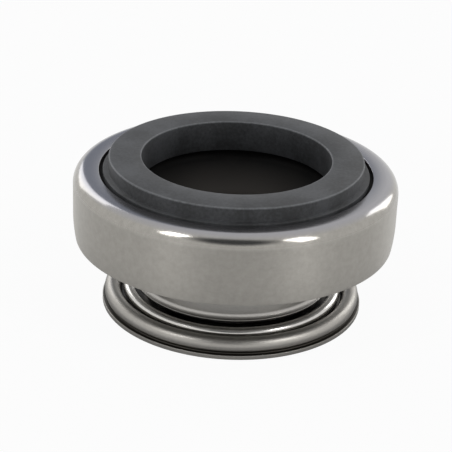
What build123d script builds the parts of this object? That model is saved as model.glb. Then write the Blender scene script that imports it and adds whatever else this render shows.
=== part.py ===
from build123d import *
import math
import os

# Elastomer-bellows mechanical seal head for a 14 mm pump shaft.
# Millimetres. +Z runs along the shaft towards the sealing face.
# The origin is the centre of the spring holder's underside.

# --- Shaft and rubber tail ---
shaft_radius = 7.0
tail_wall = 0.9
tail_end_z = 0.1
tail_grip_length = 5.0
tail_lead_in = 0.4
shaft_relief = 0.3
convolution_wall = 1.2
relief_taper_length = 0.9
waist_drop = 1.2
waist_taper_length = 1.2
funnel_low_rise = 0.75
funnel_high_drop = 0.9
seat_recess = 0.7

# --- Spring holder: flat brim with a rolled bead ---
holder_sheet = 0.45
brim_reach = 1.15
bead_section_radius = 0.9
bead_slot = 0.3
bead_sink = 0.15
coil_bead_gap = 0.3
holder_hole_clearance = 0.05
edge_break = 0.08

# --- Drive band on the tail ---
band_sheet = 0.55
band_bend_radius = 0.75
band_length = 3.95
band_flange_gap = 0.1

# --- Spring ---
wire_diameter = 1.3
coil_band_gap = 0.25
coil_lip_gap = 0.07
spring_seat_gap = 0.03
wire_end_angle = 180.0
flat_coil_angle = 290.0
crossing_angle = 72.0
crossing_rise = 0.45
active_turns = 2.3
closed_top_angle = 250.0
points_per_turn = 12

# --- Spring cup: carries the spring's top coil and drives the head ---
cup_sheet = 0.4
cup_coil_gap = 0.2
cup_lip_rise = 0.45
cup_flare_reach = 0.43
cup_flare_height = 0.62
cup_corner_radius = 0.6
notch_angle_start = 96.0
notch_angle_end = 190.0

# --- Shell ---
shell_bottom_z = 8.1
shell_height = 7.7
shell_sheet = 0.5
shell_top_width = 2.85
shell_shoulder_radius = 1.5
shell_crimp = 0.25
shell_crimp_height = 1.5
shell_crimp_bend = 14.0

# --- Thrust disc ---
disc_sheet = 0.6
disc_recess = 0.15
disc_shell_gap = 0.15
disc_bellows_gap = 0.3

# --- Carbon seal ring ---
bore_shaft_gap = 3.5
face_width = 3.6
nose_height = 1.5
shoulder_step = 0.65
shoulder_rim_gap = 0.4
ledge_rise = 0.1
seal_ring_thickness = 3.6
carbon_edge_break = 0.12

# --- Running travel ---
face_travel = 1.2
travel_margin = 0.3

# --- Worked out from the sizes above, from the shaft outwards ---
tail_radius = shaft_radius + tail_wall
band_radius = tail_radius + band_sheet
foot_radius = tail_radius + band_bend_radius
holder_hole_radius = foot_radius + holder_hole_clearance
wire_radius = wire_diameter / 2
upper_coil_radius = band_radius + coil_band_gap + wire_radius
cup_inner_radius = upper_coil_radius + wire_radius + cup_coil_gap
cup_radius = cup_inner_radius + cup_sheet
lip_radius = cup_radius + cup_flare_reach
end_coil_radius = lip_radius + coil_lip_gap + wire_radius
flange_top_z = holder_sheet + band_sheet
end_coil_z = flange_top_z + wire_radius
cup_lip_z = end_coil_z + wire_radius + cup_lip_rise
bead_centre_z = holder_sheet - bead_sink + bead_section_radius
bead_coil_distance = bead_section_radius + wire_radius + coil_bead_gap
bead_radius = end_coil_radius + math.sqrt(bead_coil_distance**2 - (end_coil_z - bead_centre_z) ** 2)
brim_radius = bead_radius + brim_reach
flange_radius = bead_radius - bead_section_radius - band_flange_gap
face_bore_radius = shaft_radius + bore_shaft_gap
nose_radius = face_bore_radius + face_width
shoulder_radius = nose_radius + shoulder_step
rim_radius = shoulder_radius + shoulder_rim_gap
shell_radius = rim_radius + shell_top_width
shell_inner_radius = shell_radius - shell_sheet
shell_top_z = shell_bottom_z + shell_height
shell_inner_top_z = shell_top_z - shell_sheet
crimp_z = shell_bottom_z + shell_crimp_height
crimp_inner_radius = shell_inner_radius - shell_crimp
ledge_z = shell_top_z + ledge_rise
face_z = ledge_z + nose_height
seal_ring_bottom_z = face_z - seal_ring_thickness
disc_bottom_z = shell_bottom_z + disc_recess
disc_top_z = disc_bottom_z + disc_sheet
top_coil_z = disc_bottom_z - cup_sheet - wire_radius - spring_seat_gap
relief_radius = shaft_radius + shaft_relief
throat_radius = relief_radius + convolution_wall
disc_hole_radius = throat_radius + disc_bellows_gap

os.makedirs("parts", exist_ok=True)


def save(builder, name):
    """Label a finished piece and write its STEP file."""
    builder.part.label = name
    export_step(builder.part, f"parts/{name}.step")


# --- Seal ring: turned carbon-graphite ring with a stepped nose ---
# The nose's flat end is the lapped sealing face. The wider shoulder behind it sits in the rubber.
with BuildPart() as seal_ring:
    with BuildSketch(Plane.XZ) as seal_ring_section:
        with BuildLine():
            Polyline(
                (face_bore_radius, seal_ring_bottom_z),
                (shoulder_radius, seal_ring_bottom_z),
                (shoulder_radius, ledge_z),
                (nose_radius, ledge_z),
                (nose_radius, face_z),
                (face_bore_radius, face_z),
                close=True,
            )
        make_face()
        sharp_edges = seal_ring_section.vertices().group_by(Axis.Y)[-1]
        chamfer(sharp_edges, length=carbon_edge_break)
    revolve(axis=Axis.Z)
save(seal_ring, "seal_ring")


# --- Shell: drawn stainless cap, open below, its flat top pierced for the nose ---
# The skirt's lower edge is closed in a little, which keeps the thrust disc inside.
with BuildPart() as shell:
    with BuildSketch(Plane.XZ):
        with BuildLine():
            FilletPolyline(
                (crimp_inner_radius, shell_bottom_z),
                (shell_radius - shell_crimp, shell_bottom_z),
                (shell_radius, crimp_z),
                (shell_radius, shell_top_z),
                (rim_radius, shell_top_z),
                (rim_radius, shell_inner_top_z),
                (shell_inner_radius, shell_inner_top_z),
                (shell_inner_radius, crimp_z),
                radius=[
                    edge_break,
                    edge_break * 2,
                    shell_crimp_bend,
                    shell_shoulder_radius,
                    edge_break,
                    edge_break,
                    shell_shoulder_radius - shell_sheet,
                    shell_crimp_bend - shell_sheet,
                ],
                close=True,
            )
        make_face()
    revolve(axis=Axis.Z)
save(shell, "shell")


# --- Thrust disc: flat washer that pushes on the rubber behind the carbon ---
disc_radius = crimp_inner_radius - disc_shell_gap
with BuildPart() as thrust_disc:
    with BuildSketch(Plane.XY.offset(disc_bottom_z)):
        Circle(disc_radius)
        Circle(disc_hole_radius, mode=Mode.SUBTRACT)
    extrude(amount=disc_sheet)
    chamfer(thrust_disc.edges(), length=edge_break)
save(thrust_disc, "thrust_disc")


# --- Spring cup: inverted cup round the spring with a flared open edge ---
# A drive notch in the flare lets the wire pass from the end coil to the coils inside.
flare_top_z = cup_lip_z + cup_flare_height
flare_radius = (cup_flare_height**2 + cup_flare_reach**2) / (2 * cup_flare_reach)
flare_sweep = math.degrees(math.asin(cup_flare_height / flare_radius))
notch_top_z = end_coil_z + crossing_rise + wire_radius + face_travel + travel_margin
with BuildPart() as spring_cup:
    with BuildSketch(Plane.XZ):
        with BuildLine():
            outer_arc_centre = (cup_radius + flare_radius, flare_top_z)
            outer_flare = CenterArc(outer_arc_centre, flare_radius, 180, flare_sweep)
            inner_flare = CenterArc(outer_arc_centre, flare_radius + cup_sheet, 180, flare_sweep)
            Line(outer_flare @ 1, inner_flare @ 1)
            FilletPolyline(
                inner_flare @ 0,
                (cup_inner_radius, disc_bottom_z - cup_sheet),
                (disc_hole_radius, disc_bottom_z - cup_sheet),
                (disc_hole_radius, disc_bottom_z),
                (cup_radius, disc_bottom_z),
                outer_flare @ 0,
                radius=[cup_corner_radius - cup_sheet, edge_break, edge_break, cup_corner_radius],
            )
        make_face()
    revolve(axis=Axis.Z)
    with BuildSketch(Plane.XY):
        with BuildLine():
            notch_angle = notch_angle_end - notch_angle_start
            notch_arc = CenterArc((0, 0), lip_radius + wire_diameter, notch_angle_start, notch_angle)
            Line((0, 0), notch_arc @ 0)
            Line(notch_arc @ 1, (0, 0))
        make_face()
    extrude(amount=notch_top_z, mode=Mode.SUBTRACT)
save(spring_cup, "spring_cup")


# --- Spring: round wire, a wide closed coil below and narrower coils inside the cup ---
def coil_point(angle):
    """Centre of the wire at an angle along it, measured from the wire's end in the base coil."""
    crossing_end = flat_coil_angle + crossing_angle
    active_end = crossing_end + 360 * active_turns
    if angle <= flat_coil_angle:
        radius = end_coil_radius
        height = end_coil_z
    elif angle <= crossing_end:
        share = (angle - flat_coil_angle) / crossing_angle
        ease = share * share * (3 - 2 * share)
        radius = end_coil_radius + (upper_coil_radius - end_coil_radius) * ease
        height = end_coil_z + crossing_rise * share * share
    elif angle <= active_end:
        share = (angle - crossing_end) / (active_end - crossing_end)
        radius = upper_coil_radius
        start_z = end_coil_z + crossing_rise
        height = start_z + (top_coil_z - start_z) * share
    else:
        radius = upper_coil_radius
        height = top_coil_z
    turn = math.radians(wire_end_angle + angle)
    return (radius * math.cos(turn), radius * math.sin(turn), height)


wire_angle = flat_coil_angle + crossing_angle + 360 * active_turns + closed_top_angle
wire_steps = round(wire_angle / 360 * points_per_turn)
wire_path_points = [coil_point(wire_angle * step / wire_steps) for step in range(wire_steps + 1)]
with BuildPart() as spring:
    with BuildLine():
        wire_path = Spline(*wire_path_points)
    with BuildSketch(Plane(origin=wire_path @ 0, z_dir=wire_path % 0)):
        Circle(wire_radius)
    sweep(is_frenet=True)
save(spring, "spring")
print("spring volume", spring.part.volume, "expected", math.pi * wire_radius**2 * wire_path.length)


# --- Drive band: sleeve gripping the rubber tail, turned out below into the spring's seat ---
with BuildPart() as drive_band:
    with BuildSketch(Plane.XZ):
        with BuildLine():
            FilletPolyline(
                (tail_radius, holder_sheet),
                (flange_radius, holder_sheet),
                (flange_radius, flange_top_z),
                (band_radius, flange_top_z),
                (band_radius, holder_sheet + band_length),
                (tail_radius, holder_sheet + band_length),
                radius=[
                    band_bend_radius,
                    edge_break,
                    edge_break,
                    band_bend_radius - band_sheet,
                    edge_break,
                    edge_break,
                ],
                close=True,
            )
        make_face()
    revolve(axis=Axis.Z)
save(drive_band, "drive_band")


# --- Spring holder: pressed ring, flat floor and brim joined by a rolled hollow bead ---
with BuildPart() as spring_holder:
    with BuildSketch(Plane.XZ):
        with Locations((bead_radius, bead_centre_z)):
            Circle(bead_section_radius)
        with Locations((holder_hole_radius, 0)):
            Rectangle(brim_radius - holder_hole_radius, holder_sheet, align=(Align.MIN, Align.MIN))
        with Locations((bead_radius, bead_centre_z)):
            Circle(bead_section_radius - holder_sheet, mode=Mode.SUBTRACT)
        with Locations((bead_radius, 0)):
            Rectangle(bead_slot, bead_centre_z, align=(Align.CENTER, Align.MIN), mode=Mode.SUBTRACT)
    revolve(axis=Axis.Z)
save(spring_holder, "spring_holder")


# --- Bellows: one rubber moulding from the tail on the shaft to the cup round the carbon ---
grip_end_z = tail_end_z + tail_lead_in + tail_grip_length
waist_top_z = disc_bottom_z - waist_drop
funnel_low_z = disc_top_z + funnel_low_rise
funnel_high_z = seal_ring_bottom_z - funnel_high_drop
seat_recess_radius = face_bore_radius + seat_recess
block_inner_radius = seat_recess_radius + convolution_wall
small_fold = 0.8
funnel_fold = 1.2
throat_fold = 2.0
with BuildPart() as bellows:
    with BuildSketch(Plane.XZ):
        with BuildLine():
            foot_arc = CenterArc((foot_radius, holder_sheet + band_bend_radius), band_bend_radius, 180, 90)
            Polyline(
                foot_arc @ 1,
                (foot_radius, tail_end_z),
                (shaft_radius + tail_lead_in, tail_end_z),
                (shaft_radius, tail_end_z + tail_lead_in),
                (shaft_radius, grip_end_z),
            )
            FilletPolyline(
                (shaft_radius, grip_end_z),
                (relief_radius, grip_end_z + relief_taper_length),
                (relief_radius, funnel_low_z),
                (seat_recess_radius, funnel_high_z),
                (seat_recess_radius, seal_ring_bottom_z),
                (shoulder_radius, seal_ring_bottom_z),
                (shoulder_radius, shell_inner_top_z),
                (shell_inner_radius, shell_inner_top_z),
                (shell_inner_radius, crimp_z + shell_crimp_height),
                (crimp_inner_radius, disc_top_z),
                (block_inner_radius, disc_top_z),
                (block_inner_radius, funnel_high_z - convolution_wall),
                (throat_radius, funnel_low_z),
                (throat_radius, waist_top_z),
                (tail_radius, waist_top_z - waist_taper_length),
                foot_arc @ 0,
                radius=[
                    small_fold,
                    funnel_fold,
                    small_fold,
                    0,
                    0,
                    0,
                    shell_shoulder_radius - shell_sheet,
                    0,
                    0,
                    small_fold / 2,
                    small_fold / 2,
                    throat_fold,
                    small_fold,
                    small_fold,
                ],
            )
        make_face()
    revolve(axis=Axis.Z)
save(bellows, "bellows")
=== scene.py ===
import math

import bmesh
import bpy
from mathutils import Matrix, Vector


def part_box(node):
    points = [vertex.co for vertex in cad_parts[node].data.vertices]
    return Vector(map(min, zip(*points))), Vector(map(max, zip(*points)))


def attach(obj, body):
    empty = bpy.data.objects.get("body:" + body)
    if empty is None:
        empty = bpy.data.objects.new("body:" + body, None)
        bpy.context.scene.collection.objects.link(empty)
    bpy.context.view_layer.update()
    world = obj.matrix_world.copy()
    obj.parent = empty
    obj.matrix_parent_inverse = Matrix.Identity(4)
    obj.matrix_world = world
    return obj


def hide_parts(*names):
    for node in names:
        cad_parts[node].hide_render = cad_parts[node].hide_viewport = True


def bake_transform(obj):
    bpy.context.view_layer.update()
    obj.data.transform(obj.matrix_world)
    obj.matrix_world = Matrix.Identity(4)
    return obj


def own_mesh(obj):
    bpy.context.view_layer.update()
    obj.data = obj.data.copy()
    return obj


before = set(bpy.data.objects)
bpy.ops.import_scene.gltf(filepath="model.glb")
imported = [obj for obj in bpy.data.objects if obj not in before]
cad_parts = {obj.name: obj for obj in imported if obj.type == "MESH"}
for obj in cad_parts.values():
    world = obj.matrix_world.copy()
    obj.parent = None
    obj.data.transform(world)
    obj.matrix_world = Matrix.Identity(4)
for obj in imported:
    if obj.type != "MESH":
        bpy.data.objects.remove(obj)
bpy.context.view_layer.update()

MM = 0.001
CENTRE = (0.0, 0.0, 0.0)


# --- Camera ---
# A long lens from about 175 mm, looking down on the standing seal, rolled a little about its own axis.
def towards(azimuth, elevation):
    """The direction from the seal to an azimuth (0 is the camera's side) and an elevation, in degrees."""
    turn = math.radians(azimuth)
    tilt = math.radians(elevation)
    return Vector((math.sin(turn) * math.cos(tilt), -math.cos(turn) * math.cos(tilt), math.sin(tilt)))


camera_distance = 175 * MM
camera_elevation = 24.81
camera_roll = math.radians(2.29)
camera_target = Vector((-0.89 * MM, 0, 8.85 * MM))
focal_pixels = 1556
image_pixels = 452

camera_data = bpy.data.cameras.new("camera")
camera_data.sensor_width = 36
camera_data.lens = camera_data.sensor_width * focal_pixels / image_pixels
camera_data.clip_start = 0.01
camera_data.clip_end = 20
camera = bpy.data.objects.new("camera", camera_data)
bpy.context.scene.collection.objects.link(camera)
bpy.context.scene.camera = camera
camera_back = towards(0, camera_elevation)
camera_turn = (-camera_back).to_track_quat("-Z", "Y").to_matrix().to_4x4()
camera.matrix_world = (
    Matrix.Translation(camera_target + camera_back * camera_distance)
    @ camera_turn
    @ Matrix.Rotation(camera_roll, 4, "Z")
)


# --- Studio: white floor, white room, and soft lamps ---
# White card under the seal, two tall soft boxes in front, and two behind for the bright shoulder line.
# The card scatters light and takes the seal's shadow. The camera finds it nearly white, but its glow for a
# mirror ray fades close to the seal, a painted shadow round the seal.
def linear(hex_colour):
    """An sRGB hex colour as linear red, green, blue and alpha."""
    values = [int(hex_colour[i:i + 2], 16) / 255 for i in (1, 3, 5)]
    return [v / 12.92 if v <= 0.04045 else ((v + 0.055) / 1.055) ** 2.4 for v in values] + [1.0]


def add_node(tree, kind, settings=None, links=None):
    """Adds one shader node, sets its properties and unlinked sockets, and links the rest.

    A socket goes by its name, or by its number where a node has several of one name.
    """
    node = tree.nodes.new(kind)
    for key, value in (settings or {}).items():
        if isinstance(key, str) and hasattr(node, key):
            setattr(node, key, value)
        else:
            node.inputs[key].default_value = value
    for key, source in (links or {}).items():
        tree.links.new(source, node.inputs[key])
    return node


def new_material(name):
    """An empty node material and its node tree."""
    material = bpy.data.materials.new(name)
    material.use_nodes = True
    material.node_tree.nodes.clear()
    return material, material.node_tree


def seen_directly(tree):
    """1 for a camera, mirror or clear ray, and 0 for the light that scatters from a surface."""
    rays = add_node(tree, "ShaderNodeLightPath")
    either = add_node(
        tree, "ShaderNodeMath", {"operation": "MAXIMUM"},
        {0: rays.outputs["Is Camera Ray"], 1: rays.outputs["Is Glossy Ray"]},
    )
    return add_node(
        tree, "ShaderNodeMath", {"operation": "MAXIMUM"},
        {0: either.outputs[0], 1: rays.outputs["Is Transmission Ray"]},
    ).outputs[0]


floor_size = 1.2
shaded_radius = 15 * MM
open_radius = 38 * MM
shaded_glow = 0.08
open_glow = 0.95

floor_material, tree = new_material("white_card_floor")
card = add_node(tree, "ShaderNodeBsdfDiffuse", {"Color": linear("#B4B4B4")})
glow = add_node(tree, "ShaderNodeEmission", {"Color": linear("#FFFFFF"), "Strength": 1.0})
on_card = add_node(tree, "ShaderNodeTexCoord").outputs["Object"]
from_seal = add_node(tree, "ShaderNodeVectorMath", {"operation": "LENGTH"}, {0: on_card}).outputs["Value"]
# The glow that mirror rays see fades close to the seal: a painted shadow.
mirrored_glow = add_node(
    tree, "ShaderNodeMapRange",
    {"interpolation_type": "SMOOTHSTEP", "From Min": shaded_radius, "From Max": open_radius,
     "To Min": shaded_glow, "To Max": open_glow},
    {0: from_seal},
).outputs[0]
rays = add_node(tree, "ShaderNodeLightPath")
card_glow = add_node(
    tree, "ShaderNodeMix", {"data_type": "FLOAT", 3: open_glow},
    {0: rays.outputs["Is Camera Ray"], 2: mirrored_glow},
).outputs[0]
seen = add_node(tree, "ShaderNodeMath", {"operation": "MULTIPLY"}, {0: seen_directly(tree), 1: card_glow})
mixed = add_node(
    tree, "ShaderNodeMixShader", None, {0: seen.outputs[0], 1: card.outputs[0], 2: glow.outputs[0]},
)
add_node(tree, "ShaderNodeOutputMaterial", None, {"Surface": mixed.outputs[0]})

bpy.ops.object.select_all(action="DESELECT")
bpy.ops.mesh.primitive_plane_add(size=floor_size, location=CENTRE)
floor = bpy.context.active_object
floor.name = "floor"
floor.data.materials.append(floor_material)

room = bpy.data.worlds.new("room")
room.use_nodes = True
tree = room.node_tree
tree.nodes.clear()
look = add_node(tree, "ShaderNodeTexCoord").outputs["Generated"]


def wall_patch(tree, look, azimuth, elevation, core, edge):
    """1 inside a round patch of the room's wall and 0 past its soft edge. All four are in degrees."""
    near = add_node(
        tree, "ShaderNodeVectorMath", {"operation": "DOT_PRODUCT", 1: towards(azimuth, elevation)}, {0: look},
    ).outputs["Value"]
    return add_node(
        tree, "ShaderNodeMapRange",
        {"interpolation_type": "SMOOTHSTEP", "From Min": math.cos(math.radians(edge)),
         "From Max": math.cos(math.radians(core))},
        {0: near},
    ).outputs[0]


# Mirror rays find a white room with a grey camera stand in front and a pale blue-grey wall behind. The camera
# finds pure white, and the light that scatters from the seal comes from a slightly darker room.
camera_stand = wall_patch(tree, look, azimuth=0, elevation=52, core=12, edge=32)
back_wall = wall_patch(tree, look, azimuth=-167, elevation=24, core=7, edge=20)
walled = add_node(
    tree, "ShaderNodeMix", {"data_type": "RGBA", 6: linear("#FFFFFF"), 7: linear("#A6ABB6")}, {0: back_wall},
).outputs[2]
room_tone = add_node(
    tree, "ShaderNodeMix", {"data_type": "RGBA", 7: linear("#4E5054")}, {0: camera_stand, 6: walled},
).outputs[2]
lit = add_node(tree, "ShaderNodeBackground", {"Color": linear("#D6D8DC"), "Strength": 1.0})
walls = add_node(tree, "ShaderNodeBackground", {"Strength": 1.0}, {"Color": room_tone})
white = add_node(tree, "ShaderNodeBackground", {"Color": linear("#FFFFFF"), "Strength": 1.0})
rays = add_node(tree, "ShaderNodeLightPath")
mirrored = add_node(
    tree, "ShaderNodeMixShader", None, {0: seen_directly(tree), 1: lit.outputs[0], 2: walls.outputs[0]},
)
mixed = add_node(
    tree, "ShaderNodeMixShader", None,
    {0: rays.outputs["Is Camera Ray"], 1: mirrored.outputs[0], 2: white.outputs[0]},
)
add_node(tree, "ShaderNodeOutputWorld", None, {"Surface": mixed.outputs[0]})
bpy.context.scene.world = room

lamp_distance = 0.5


def soft_box(name, azimuth, elevation, width, height, power):
    """A rectangular area lamp that faces the seal. Its angles are in degrees and its sides in metres."""
    lamp = bpy.data.lights.new(name, "AREA")
    lamp.shape = "RECTANGLE"
    lamp.size = width
    lamp.size_y = height
    lamp.energy = power
    away = towards(azimuth, elevation)
    lamp_object = bpy.data.objects.new(name, lamp)
    bpy.context.scene.collection.objects.link(lamp_object)
    lamp_turn = away.to_track_quat("Z", "Y").to_matrix().to_4x4()
    lamp_object.matrix_world = Matrix.Translation(away * lamp_distance) @ lamp_turn


soft_box("left_box", azimuth=-54, elevation=53, width=0.09, height=0.17, power=0.50)
soft_box("right_box", azimuth=55, elevation=44, width=0.11, height=0.22, power=0.50)
soft_box("back_left_box", azimuth=-147, elevation=27, width=0.22, height=0.27, power=0.31)
soft_box("back_right_box", azimuth=133, elevation=24, width=0.15, height=0.25, power=0.29)


# --- Shell ---
# Drawn from thin stainless sheet: a flat top pierced for the carbon nose, a rounded shoulder, and a skirt
# whose lower edge is closed in a little. The skirt is satin and the shoulder is polished by the drawing die.
RING_STEPS = 256
SAME_POINT = 1e-7
SAME_CIRCLE = 0.002 * MM


def start_ring(name, radius, height):
    """Adds a circle on the shaft axis and leaves it in edit mode with its edge selected."""
    bpy.ops.object.select_all(action="DESELECT")
    bpy.ops.mesh.primitive_circle_add(vertices=RING_STEPS, radius=radius, location=(0, 0, height))
    bpy.ops.object.transform_apply(location=True, rotation=True, scale=True)
    ring = bpy.context.active_object
    ring.name = name
    bpy.ops.object.mode_set(mode="EDIT")
    bpy.ops.mesh.select_mode(type="EDGE")
    bpy.ops.mesh.select_all(action="SELECT")
    return ring


def extrude_ring(old, new):
    """Extrudes the selected circle from one (radius, height) to the next."""
    bpy.ops.mesh.extrude_edges_move()
    scale = new[0] / old[0]
    bpy.ops.transform.resize(value=(scale, scale, 1), center_override=CENTRE)
    bpy.ops.transform.translate(value=(0, 0, new[1] - old[1]))


def merge_and_face_out():
    """Merges the doubled points of the piece in edit mode and turns its faces outwards."""
    bpy.ops.mesh.select_all(action="SELECT")
    bpy.ops.mesh.remove_doubles(threshold=SAME_POINT)
    bpy.ops.mesh.normals_make_consistent(inside=False)


def turn_ring(name, section, closed):
    """Models a ring by extruding a circle through the corners of its section. Sizes are in mm."""
    corners = [(radius * MM, height * MM) for radius, height in section]
    ring = start_ring(name, *corners[0])
    for old, new in zip(corners, corners[1:]):
        extrude_ring(old, new)
    if closed:
        extrude_ring(corners[-1], corners[0])
        merge_and_face_out()
    return ring


def round_corner(ring, radius, height, width, segments):
    """Bevels the circular edge at one (radius, height), in mm, while the ring is in edit mode."""
    mesh = bmesh.from_edit_mesh(ring.data)
    for edge in mesh.edges:
        off_radius = [abs(math.hypot(v.co.x, v.co.y) - radius * MM) for v in edge.verts]
        off_height = [abs(v.co.z - height * MM) for v in edge.verts]
        edge.select_set(max(off_radius + off_height) < SAME_CIRCLE)
    bmesh.update_edit_mesh(ring.data)
    bpy.ops.mesh.bevel(offset=width * MM, offset_type="OFFSET", segments=segments, affect="EDGES")


def soften_edges(piece, width, segments, sharp):
    """Bevels the edges that turn by more than sharp degrees. The width is in mm."""
    soften = piece.modifiers.new("soften", "BEVEL")
    soften.width = width * MM
    soften.segments = segments
    soften.limit_method = "ANGLE"
    soften.angle_limit = math.radians(sharp)
    bpy.ops.object.modifier_apply(modifier="soften")


def finish_ring(ring, sheet=0.0, edge_bevel=0.0):
    """Leaves edit mode, gives a pressed piece its sheet thickness, and smooths it. Sizes are in mm."""
    bpy.ops.object.mode_set(mode="OBJECT")
    if sheet:
        wall = ring.modifiers.new("sheet", "SOLIDIFY")
        wall.thickness = sheet * MM
        wall.offset = 0
        wall.use_even_offset = True
        bpy.ops.object.modifier_apply(modifier="sheet")
        bpy.ops.object.mode_set(mode="EDIT")
        bpy.ops.mesh.select_all(action="SELECT")
        bpy.ops.mesh.normals_make_consistent(inside=False)
        bpy.ops.object.mode_set(mode="OBJECT")
    if edge_bevel:
        soften_edges(ring, edge_bevel, segments=3, sharp=50)
    bpy.ops.object.shade_smooth_by_angle(angle=math.radians(32))


def height_step(tree, start, end, most=1.0):
    """0 up to the height start and most from the height end on, which may be the lower. Both are in mm."""
    where = add_node(tree, "ShaderNodeTexCoord").outputs["Object"]
    height = add_node(tree, "ShaderNodeSeparateXYZ", None, {0: where}).outputs["Z"]
    return add_node(
        tree, "ShaderNodeMapRange",
        {"From Min": start * MM, "From Max": end * MM, "To Min": 0.0, "To Max": most}, {0: height},
    ).outputs[0]


def place(ring, node, body, material):
    """Puts the finished piece in the place of its CAD node."""
    ring.data.materials.append(material)
    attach(ring, body)
    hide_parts(node)


shell_low, shell_high = (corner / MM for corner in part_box("shell"))
rim_radius = 15.15
shell_sheet = 0.5
shell_shoulder = 1.5
shell_crimp = 0.25
shell_crimp_height = 1.5
shell_crimp_bend = 14.0
shell_wall = shell_high.x - shell_sheet / 2
shell_roof = shell_high.z - shell_sheet / 2
crimp_height = shell_low.z + shell_crimp_height
crimp_turn = math.atan2(shell_crimp, shell_crimp_height)

shell = turn_ring(
    "shell_piece",
    [(rim_radius, shell_roof), (shell_wall, shell_roof), (shell_wall, crimp_height),
     (shell_wall - shell_crimp, shell_low.z)],
    closed=False,
)
round_corner(shell, shell_wall, shell_roof, shell_shoulder - shell_sheet / 2, segments=14)
round_corner(shell, shell_wall, crimp_height, shell_crimp_bend * math.tan(crimp_turn / 2), segments=8)
finish_ring(shell, shell_sheet, edge_bevel=0.08)

# Stainless steel, cold drawn: a slightly warm grey. Fine satin grain runs round the skirt and smears the
# lamps up and down. The die ironed the shoulder and the top, so they stay nearly mirror bright, and the top
# is drawn a cooler grey.
mottle_size = 0.7 * MM
grain_size = 0.4 * MM
grain_squeeze = (1, 1, 9)
shoulder_low = shell_high.z - shell_shoulder
satin_end = shoulder_low + 0.6
satin_full = shoulder_low + 0.05
cool_start = shell_high.z - 0.45
cool_full = shell_high.z - 0.05
polished_rough = 0.16
grain_depth = 0.5

shell_material, tree = new_material("drawn_stainless_satin")
where = add_node(tree, "ShaderNodeTexCoord").outputs["Object"]
mottle = add_node(
    tree, "ShaderNodeTexNoise", {"Scale": 1 / mottle_size, "Detail": 5, "Roughness": 0.65}, {"Vector": where},
)
grain_space = add_node(tree, "ShaderNodeMapping", {"Scale": grain_squeeze}, {"Vector": where}).outputs[0]
grain = add_node(
    tree, "ShaderNodeTexNoise", {"Scale": 1 / grain_size, "Detail": 4, "Roughness": 0.7},
    {"Vector": grain_space},
)
steel_tone = add_node(tree, "ShaderNodeValToRGB", None, {0: mottle.outputs[0]})
for stop, share, colour in zip(steel_tone.color_ramp.elements, (0.3, 0.72), ("#98958F", "#A4A19B")):
    stop.position = share
    stop.color = linear(colour)
# The top is drawn a cooler grey than the skirt.
cool = height_step(tree, cool_start, cool_full)
steel_colour = add_node(
    tree, "ShaderNodeMix", {"data_type": "RGBA", 7: linear("#98979A")}, {0: cool, 6: steel_tone.outputs[0]},
).outputs[2]
skirt = height_step(tree, satin_end, satin_full)
satin_rough = add_node(
    tree, "ShaderNodeMapRange", {"To Min": 0.39, "To Max": 0.47}, {0: mottle.outputs[0]},
).outputs[0]
rough = add_node(
    tree, "ShaderNodeMix", {"data_type": "FLOAT", 2: polished_rough}, {0: skirt, 3: satin_rough},
).outputs[0]
depth = add_node(tree, "ShaderNodeMath", {"operation": "MULTIPLY", 1: grain_depth}, {0: skirt}).outputs[0]
ripple = add_node(
    tree, "ShaderNodeBump", {"Distance": 0.01 * MM}, {"Strength": depth, "Height": grain.outputs[0]},
).outputs[0]
around = add_node(tree, "ShaderNodeTangent", {"direction_type": "RADIAL", "axis": "Z"}).outputs[0]
surface = add_node(
    tree, "ShaderNodeBsdfPrincipled", {"Metallic": 1.0, "Anisotropic": 0.9, "Anisotropic Rotation": 0.25},
    {"Base Color": steel_colour, "Roughness": rough, "Normal": ripple, "Tangent": around},
)
add_node(tree, "ShaderNodeOutputMaterial", None, {"Surface": surface.outputs[0]})
place(shell, "shell", "head", shell_material)


# --- Seal ring ---
# Turned from resin-bonded carbon graphite: a stepped nose with a flat lapped face, and a wider shoulder
# that sits in the rubber cup. Its edges are only just broken.
def from_axis(tree):
    """The distance from the shaft axis, in metres."""
    where = add_node(tree, "ShaderNodeTexCoord").outputs["Object"]
    on_plan = add_node(
        tree, "ShaderNodeVectorMath", {"operation": "MULTIPLY", 1: (1, 1, 0)}, {0: where},
    ).outputs[0]
    return add_node(tree, "ShaderNodeVectorMath", {"operation": "LENGTH"}, {0: on_plan}).outputs["Value"]


ring_low, ring_high = (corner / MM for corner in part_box("seal_ring"))
face_bore = 10.5
nose_radius = 14.1
ledge_height = ring_high.z - 1.5
carbon_break = 0.12
ledge_fillet = 0.06

carbon = turn_ring(
    "seal_ring_piece",
    [(face_bore, ring_low.z), (ring_high.x, ring_low.z), (ring_high.x, ledge_height),
     (nose_radius, ledge_height), (nose_radius, ring_high.z), (face_bore, ring_high.z)],
    closed=True,
)
for radius, height, width, segments in (
    (nose_radius, ring_high.z, carbon_break, 3),
    (face_bore, ring_high.z, carbon_break, 3),
    (ring_high.x, ledge_height, carbon_break, 2),
    (nose_radius, ledge_height, ledge_fillet, 2),
    (face_bore, ring_low.z, carbon_break, 2),
):
    round_corner(carbon, radius, height, width, segments)
finish_ring(carbon)

# Carbon graphite: dark grey with a dull glint. The lapped face is smooth and reflects the room softly, the
# turned walls carry faint tool rings, and the broken edges of the face are drawn lighter. The real rings and
# grain are too fine to show, so the rings are drawn 2.2 mm apart and the speckle a third of a millimetre
# wide.
speckle_size = 0.35 * MM
cloud_size = 4 * MM
tool_ring_pitch = 2.19911 * MM
wave_radians = 20
face_start = ring_high.z - 0.10
face_full = ring_high.z - 0.02
pale_edge_start = ring_high.z - 0.2
pale_edge_full = ring_high.z - 0.1
face_middle = (face_bore + nose_radius) / 2
half_face = (nose_radius - face_bore) / 2
pale_edge_inner = half_face - 0.22
pale_edge_outer = half_face - 0.06
pale_edge_share = 0.5
cloud_share = 0.5
turned_rough = 0.6
lapped_rough = 0.5
tool_ring_depth = 0.35

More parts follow.
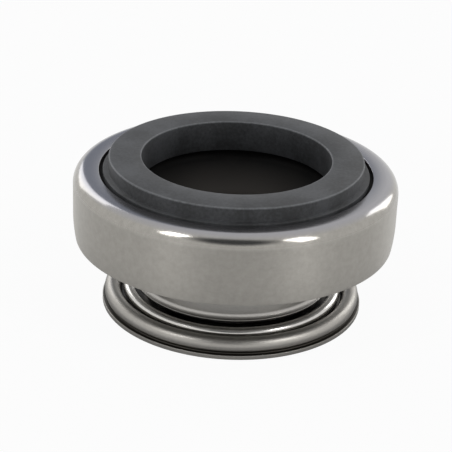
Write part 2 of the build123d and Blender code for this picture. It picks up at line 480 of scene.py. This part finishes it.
carbon_material, tree = new_material("lapped_carbon_graphite")
where = add_node(tree, "ShaderNodeTexCoord").outputs["Object"]
speckle = add_node(
    tree, "ShaderNodeTexNoise", {"Scale": 1 / speckle_size, "Detail": 6, "Roughness": 0.7}, {"Vector": where},
)
cloud = add_node(tree, "ShaderNodeTexNoise", {"Scale": 1 / cloud_size, "Detail": 3}, {"Vector": where})
tool_rings = add_node(
    tree, "ShaderNodeTexWave",
    {"wave_type": "BANDS", "bands_direction": "Z", "Scale": math.tau / tool_ring_pitch / wave_radians,
     "Distortion": 1.5, "Detail": 2},
    {"Vector": where},
)
tone = add_node(
    tree, "ShaderNodeMix", {"data_type": "FLOAT", 0: cloud_share},
    {2: speckle.outputs[0], 3: cloud.outputs[0]},
).outputs[0]
carbon_tone = add_node(tree, "ShaderNodeValToRGB", None, {0: tone})
for stop, share, colour in zip(carbon_tone.color_ramp.elements, (0.39, 0.61), ("#191A1B", "#37383A")):
    stop.position = share
    stop.color = linear(colour)
past_middle = add_node(
    tree, "ShaderNodeMath", {"operation": "SUBTRACT", 1: face_middle * MM}, {0: from_axis(tree)},
).outputs[0]
off_middle = add_node(tree, "ShaderNodeMath", {"operation": "ABSOLUTE"}, {0: past_middle}).outputs[0]
# The broken edges of the face are drawn lighter, in speckles.
at_edge = add_node(
    tree, "ShaderNodeMapRange",
    {"From Min": pale_edge_inner * MM, "From Max": pale_edge_outer * MM, "To Min": 0.0, "To Max": pale_edge_share},
    {0: off_middle},
).outputs[0]
near_face = height_step(tree, pale_edge_start, pale_edge_full)
broken_edge = add_node(tree, "ShaderNodeMath", {"operation": "MULTIPLY"}, {0: at_edge, 1: near_face})
pale_edge = add_node(
    tree, "ShaderNodeMath", {"operation": "MULTIPLY"}, {0: broken_edge.outputs[0], 1: speckle.outputs[0]},
).outputs[0]
carbon_colour = add_node(
    tree, "ShaderNodeMix", {"data_type": "RGBA", 7: linear("#8C8E90")},
    {0: pale_edge, 6: carbon_tone.outputs[0]},
).outputs[2]
on_face = height_step(tree, face_start, face_full)
carbon_rough = add_node(
    tree, "ShaderNodeMix", {"data_type": "FLOAT", 2: turned_rough, 3: lapped_rough}, {0: on_face},
).outputs[0]
grit = add_node(
    tree, "ShaderNodeBump", {"Distance": 0.006 * MM, "Strength": 0.5}, {"Height": speckle.outputs[0]},
).outputs[0]
off_face = add_node(
    tree, "ShaderNodeMath", {"operation": "SUBTRACT", 0: tool_ring_depth}, {1: on_face},
).outputs[0]
lines = add_node(
    tree, "ShaderNodeBump", {"Distance": 0.01 * MM},
    {"Strength": off_face, "Height": tool_rings.outputs[0], "Normal": grit},
).outputs[0]
surface = add_node(
    tree, "ShaderNodeBsdfPrincipled", {"Metallic": 0.0, "IOR": 1.5},
    {"Base Color": carbon_colour, "Roughness": carbon_rough, "Normal": lines},
)
add_node(tree, "ShaderNodeOutputMaterial", None, {"Surface": surface.outputs[0]})
place(carbon, "seal_ring", "head", carbon_material)


# --- Bellows ---
# One black nitrile moulding: a thick cup round the carbon, a funnel, and a tail that grips the shaft. In the
# real seal the tail stays where it is and the cup follows the head, so the wall between them shortens; here
# the moulding is one fixed piece, attached to neither.
bellows_low, bellows_high = (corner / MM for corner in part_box("bellows"))
shaft_radius = 7.0
relief_radius = 7.3
tail_radius = 7.9
throat_radius = 8.5
foot_radius = 8.65
recess_radius = 11.2
block_radius = 12.4
lead_in = 0.4
band_bottom = 0.45
band_bend = 0.75
bend_inset = 0.22
grip_top = 5.5
relief_taper = 0.9
waist_low = 5.85
waist_high = 7.05
disc_top = 8.85
funnel_low = 9.6
funnel_high = ring_low.z - 0.9
block_high = funnel_high - 1.2
seat_height = ring_low.z
lip_height = bellows_high.z

bellows = turn_ring(
    "bellows_piece",
    [(shaft_radius + lead_in, bellows_low.z), (foot_radius, bellows_low.z), (foot_radius, band_bottom),
     (tail_radius + bend_inset, band_bottom + bend_inset), (tail_radius, band_bottom + band_bend),
     (tail_radius, waist_low), (throat_radius, waist_high), (throat_radius, funnel_low),
     (block_radius, block_high), (block_radius, disc_top), (bellows_high.x - shell_crimp, disc_top),
     (bellows_high.x, crimp_height + shell_crimp_height), (bellows_high.x, lip_height),
     (ring_high.x, lip_height), (ring_high.x, seat_height), (recess_radius, seat_height),
     (recess_radius, funnel_high), (relief_radius, funnel_low), (relief_radius, grip_top + relief_taper),
     (shaft_radius, grip_top), (shaft_radius, bellows_low.z + lead_in)],
    closed=True,
)
for radius, height, width in (
    (throat_radius, funnel_low, 0.9),
    (block_radius, block_high, 0.4),
    (recess_radius, funnel_high, 0.45),
    (relief_radius, funnel_low, 0.8),
    (throat_radius, waist_high, 0.3),
    (tail_radius, waist_low, 0.3),
    (bellows_high.x, lip_height, shell_shoulder - shell_sheet),
    (relief_radius, grip_top + relief_taper, 0.2),
    (shaft_radius, grip_top, 0.2),
    (foot_radius, bellows_low.z, 0.06),
    (shaft_radius + lead_in, bellows_low.z, 0.08),
):
    round_corner(bellows, radius, height, width, segments=6)
finish_ring(bellows)

# Nitrile rubber with carbon black, compression moulded: near black, soft low sheen, faint cloudy bloom, and
# drawn a lighter brown-grey low in the bore.
bloom_size = 2.5 * MM
pore_size = 0.25 * MM
lighter_bore_from = 12.5

rubber_material, tree = new_material("moulded_nitrile_rubber")
where = add_node(tree, "ShaderNodeTexCoord").outputs["Object"]
bloom = add_node(tree, "ShaderNodeTexNoise", {"Scale": 1 / bloom_size, "Detail": 4}, {"Vector": where})
pores = add_node(
    tree, "ShaderNodeTexNoise", {"Scale": 1 / pore_size, "Detail": 4, "Roughness": 0.6}, {"Vector": where},
)
rubber_tone = add_node(tree, "ShaderNodeValToRGB", None, {0: bloom.outputs[0]})
for stop, share, colour in zip(rubber_tone.color_ramp.elements, (0.3, 0.75), ("#070707", "#100F0E")):
    stop.position = share
    stop.color = linear(colour)
# Drawn a lighter brown-grey low in the bore, from 12.5 mm down to the funnel.
lighter_low_bore = height_step(tree, lighter_bore_from, funnel_low, most=0.8)
rubber_colour = add_node(
    tree, "ShaderNodeMix", {"data_type": "RGBA", 7: linear("#3A3734")}, {0: lighter_low_bore, 6: rubber_tone.outputs[0]},
).outputs[2]
rubber_rough = add_node(
    tree, "ShaderNodeMapRange", {"To Min": 0.5, "To Max": 0.68}, {0: bloom.outputs[0]},
).outputs[0]
skin = add_node(
    tree, "ShaderNodeBump", {"Distance": 0.01 * MM, "Strength": 0.5}, {"Height": pores.outputs[0]},
).outputs[0]
surface = add_node(
    tree, "ShaderNodeBsdfPrincipled", {"Metallic": 0.0, "IOR": 1.5, "Specular IOR Level": 0.05},
    {"Base Color": rubber_colour, "Roughness": rubber_rough, "Normal": skin},
)
add_node(tree, "ShaderNodeOutputMaterial", None, {"Surface": surface.outputs[0]})
bellows.data.materials.append(rubber_material)
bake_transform(bellows)
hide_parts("bellows")


# --- Thrust disc ---
# A flat stainless washer, blanked and deburred, that spreads the spring's push over the rubber. It lies
# loose between the rubber and the spring cup, inside the shell's skirt.
def streaked_steel(name, dark, light, roughness, streak_size, squeeze, bump):
    """A bare steel with fine streaks, made thin by squeezing a pattern along an axis. The size is in mm."""
    material, tree = new_material(name)
    where = add_node(tree, "ShaderNodeTexCoord").outputs["Object"]
    space = add_node(tree, "ShaderNodeMapping", {"Scale": squeeze}, {"Vector": where}).outputs[0]
    streak = add_node(
        tree, "ShaderNodeTexNoise", {"Scale": 1 / (streak_size * MM), "Detail": 4, "Roughness": 0.65},
        {"Vector": space},
    )
    tone = add_node(tree, "ShaderNodeValToRGB", None, {0: streak.outputs[0]})
    for stop, share, colour in zip(tone.color_ramp.elements, (0.3, 0.72), (dark, light)):
        stop.position = share
        stop.color = linear(colour)
    smoothest = roughness * 0.85
    roughest = roughness * 1.2
    rough = add_node(
        tree, "ShaderNodeMapRange", {"To Min": smoothest, "To Max": roughest}, {0: streak.outputs[0]},
    ).outputs[0]
    ripple = add_node(
        tree, "ShaderNodeBump", {"Distance": 0.006 * MM, "Strength": bump}, {"Height": streak.outputs[0]},
    ).outputs[0]
    surface = add_node(
        tree, "ShaderNodeBsdfPrincipled", {"Metallic": 1.0},
        {"Base Color": tone.outputs[0], "Roughness": rough, "Normal": ripple},
    )
    add_node(tree, "ShaderNodeOutputMaterial", None, {"Surface": surface.outputs[0]})
    return material


disc_low, disc_high = (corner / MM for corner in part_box("thrust_disc"))
disc_hole = 8.8
disc = turn_ring(
    "thrust_disc_piece",
    [(disc_hole, disc_low.z), (disc_high.x, disc_low.z), (disc_high.x, disc_high.z),
     (disc_hole, disc_high.z)],
    closed=True,
)
finish_ring(disc, edge_bevel=0.07)

# Cold-rolled stainless strip: even grey with fine straight rolling lines and a soft sheen.
strip_look = {
    "dark": "#A5A4A2", "light": "#B6B5B2", "roughness": 0.3,
    "streak_size": 0.4, "squeeze": (1, 14, 1), "bump": 0.4,
}
strip_steel = streaked_steel("cold_rolled_stainless", **strip_look)
place(disc, "thrust_disc", "head", strip_steel)


# --- Spring cup ---
# Deep-drawn stainless cup, open end down, whose lip is flared outwards. A notch through the flare and the
# wall just above it lets the spring wire pass inside.
cup_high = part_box("spring_cup")[1] / MM
cup_sheet = 0.4
cup_outer = 10.6
cup_corner = 0.4
flare_reach = 0.43
flare_rise = 0.62
flare_steps = 8
lip_low = 2.75
notch_from = math.radians(96)
notch_to = math.radians(190)
notch_top = 4.55
cup_wall = cup_outer - cup_sheet / 2
cup_plate = cup_high.z - cup_sheet / 2
flare_radius = (flare_rise**2 + flare_reach**2) / (2 * flare_reach)
flare_sweep = math.asin(flare_rise / flare_radius)
flare_arc = flare_radius + cup_sheet / 2

flare = []
for step in range(flare_steps, -1, -1):
    turn = flare_sweep * step / flare_steps
    flare.append((
        cup_outer + flare_radius - flare_arc * math.cos(turn),
        lip_low + flare_rise - flare_arc * math.sin(turn),
    ))
cup = turn_ring(
    "spring_cup_piece",
    [*flare, (cup_wall, notch_top), (cup_wall, cup_plate), (disc_hole, cup_plate)],
    closed=False,
)
round_corner(cup, cup_wall, cup_plate, cup_corner, segments=6)
mesh = bmesh.from_edit_mesh(cup.data)
for face in mesh.faces:
    middle = face.calc_center_median()
    turn = math.atan2(middle.y, middle.x) % math.tau
    face.select_set(notch_from < turn < notch_to and middle.z < notch_top * MM)
bmesh.update_edit_mesh(cup.data)
bpy.ops.mesh.delete(type="FACE")
finish_ring(cup, cup_sheet, edge_bevel=0.05)

# Deep-drawn stainless: satin, with faint lines that run round the wall.
drawn_steel = streaked_steel(
    "drawn_stainless_cup", "#A3A19D", "#B4B1AC", roughness=0.3,
    streak_size=0.35, squeeze=(1, 1, 6), bump=0.12,
)
place(cup, "spring_cup", "head", drawn_steel)


# --- Spring ---
# Hard-drawn stainless spring wire: a wide closed coil lies on its seat, crosses inwards at the back left and
# climbs in narrower coils to the cup's plate. The ends are sheared square.
wire_radius = 0.65
end_coil_radius = 11.75
upper_coil_radius = 9.35
end_coil_height = 1.65
plate_gap = 0.03
top_coil_height = cup_high.z - cup_sheet - wire_radius - plate_gap
wire_end = 180
flat_coil = 290
crossing = 72
crossing_rise = 0.45
climb_turns = 2.3
climb = 360 * climb_turns
closed_top = 250
steps_per_turn = 72


def wire_centre(angle):
    """The wire's centre, in metres, at an angle in degrees along it from its end in the base coil."""
    radius = upper_coil_radius
    height = top_coil_height
    inside = flat_coil + crossing
    if angle <= flat_coil:
        radius = end_coil_radius
        height = end_coil_height
    elif angle <= inside:
        share = (angle - flat_coil) / crossing
        radius = end_coil_radius + (upper_coil_radius - end_coil_radius) * share * share * (3 - 2 * share)
        height = end_coil_height + crossing_rise * share * share
    elif angle <= inside + climb:
        start = end_coil_height + crossing_rise
        height = start + (top_coil_height - start) * (angle - inside) / climb
    turn = math.radians(wire_end + angle)
    return Vector((radius * math.cos(turn), radius * math.sin(turn), height)) * MM


wire_angle = flat_coil + crossing + climb + closed_top
wire_steps = round(wire_angle / 360 * steps_per_turn)
wire_line = bpy.data.curves.new("spring_piece", "CURVE")
wire_line.dimensions = "3D"
wire_line.bevel_depth = wire_radius * MM
wire_line.bevel_resolution = 6
wire_line.use_fill_caps = True
path = wire_line.splines.new("POLY")
path.points.add(wire_steps)
for step, point in enumerate(path.points):
    point.co = (*wire_centre(wire_angle * step / wire_steps), 1)
spring = bpy.data.objects.new("spring_piece", wire_line)
bpy.context.scene.collection.objects.link(spring)
bpy.ops.object.select_all(action="DESELECT")
spring.select_set(True)
bpy.context.view_layer.objects.active = spring
bpy.ops.object.convert(target="MESH")
spring = bpy.context.active_object
bpy.ops.object.mode_set(mode="EDIT")
merge_and_face_out()
bpy.ops.object.mode_set(mode="OBJECT")
soften_edges(spring, 0.08, segments=2, sharp=60)
bpy.ops.object.shade_smooth_by_angle(angle=math.radians(40))

# Hard-drawn stainless wire: the brightest steel here, with a narrow sharp highlight and fine die marks.
wire_steel = streaked_steel(
    "bright_drawn_spring_wire", "#BEBCB8", "#CFCDC9", roughness=0.19,
    streak_size=0.5, squeeze=(1, 1, 6), bump=0.15,
)
spring.data.materials.append(wire_steel)
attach(spring, "tail")
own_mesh(spring)
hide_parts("spring")


# --- Drive band ---
# Stainless sleeve pressed over the rubber tail, its lower end turned out flat as the spring's seat. The seat
# is darkened with painted shade.
PAINTED_SHADE_COVER = 0.95


def add_painted_shade(tree, mask):
    """Darkens a steel's colour with painted shade where the mask says."""
    surface = tree.nodes["Principled BSDF"]
    bare = surface.inputs["Base Color"].links[0].from_socket
    share = add_node(tree, "ShaderNodeMath", {"operation": "MULTIPLY", 1: PAINTED_SHADE_COVER}, {0: mask}).outputs[0]
    # Painted shade: a dark brown-grey mixed over the bare colour.
    painted_shade_colour = add_node(
        tree, "ShaderNodeMix", {"data_type": "RGBA", 7: linear("#37342F")}, {0: share, 6: bare},
    ).outputs[2]
    tree.links.new(painted_shade_colour, surface.inputs["Base Color"])


band_low, band_high = (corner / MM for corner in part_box("drive_band"))
band_sheet = 0.55
band_wall = tail_radius + band_sheet / 2
band_floor = band_low.z + band_sheet / 2
band = turn_ring(
    "drive_band_piece",
    [(band_wall, band_high.z), (band_wall, band_floor), (band_high.x, band_floor)],
    closed=False,
)
round_corner(band, band_wall, band_floor, band_bend - band_sheet / 2, segments=6)
finish_ring(band, band_sheet, edge_bevel=0.06)

# The same strip as the thrust disc, with painted shade on the seat under the coil that fades out just above
# the seat.
shade_end = 1.35
shade_full = 1.05
band_steel = streaked_steel("rolled_stainless_painted_shade", **strip_look)
add_painted_shade(band_steel.node_tree, height_step(band_steel.node_tree, shade_end, shade_full))
place(band, "drive_band", "tail", band_steel)


# --- Spring holder ---
# One stainless pressing: a flat floor, a rolled bead that stands round the base coil, and a thin flat brim.
# It carries the drive band's seat and is the end that the seal stands on.
holder_low, holder_high = (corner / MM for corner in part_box("spring_holder"))
holder_sheet = 0.45
holder_hole = foot_radius + 0.05
bead_radius = 13.544
bead_section = 0.9
bead_slot = 0.3
bead_steps = 40
bead_foot = 0.12
bead_middle = bead_section - holder_sheet / 2
bead_centre = holder_high.z - bead_section
neck = math.asin((bead_slot + holder_sheet) / 2 / bead_middle)
holder_floor = holder_low.z + holder_sheet / 2

bead = []
for step in range(bead_steps + 1):
    turn = neck + (math.tau - 2 * neck) * step / bead_steps
    bead.append((bead_radius - bead_middle * math.sin(turn), bead_centre - bead_middle * math.cos(turn)))
bead_inner = bead[0][0] - bead_foot
bead_outer = bead[-1][0] + bead_foot
holder = turn_ring(
    "spring_holder_piece",
    [(holder_hole, holder_floor), (bead_inner, holder_floor), *bead, (bead_outer, holder_floor),
     (holder_high.x, holder_floor)],
    closed=False,
)
finish_ring(holder, holder_sheet, edge_bevel=0.05)

# Pressed stainless, tumbled to a satin. Painted shade darkens the floor and the crease by the brim, but not
# the brim's edge or the underside.
shade_end = 1.0
shade_full = 0.7
underside_end = 0.15
underside_clear = 0.35
brim_edge = holder_high.x - 0.05
brim_inside = holder_high.x - 0.13

pressed_steel = streaked_steel(
    "pressed_stainless_satin", "#9B9893", "#ACA9A3", roughness=0.4,
    streak_size=0.35, squeeze=(1, 1, 6), bump=0.15,
)
tree = pressed_steel.node_tree
inside = add_node(
    tree, "ShaderNodeMapRange",
    {"From Min": brim_edge * MM, "From Max": brim_inside * MM, "To Min": 0.0, "To Max": 1.0},
    {0: from_axis(tree)},
).outputs[0]
low = height_step(tree, shade_end, shade_full)
not_under = height_step(tree, underside_end, underside_clear)
on_top = add_node(tree, "ShaderNodeMath", {"operation": "MULTIPLY"}, {0: low, 1: not_under}).outputs[0]
# Painted shade on the floor and in the crease by the brim, where the bead and the coil stand over them.
crease = add_node(tree, "ShaderNodeMath", {"operation": "MULTIPLY"}, {0: on_top, 1: inside}).outputs[0]
add_painted_shade(tree, crease)
place(holder, "spring_holder", "tail", pressed_steel)


# --- View and finish ---
bpy.context.scene.view_settings.view_transform = "Standard"
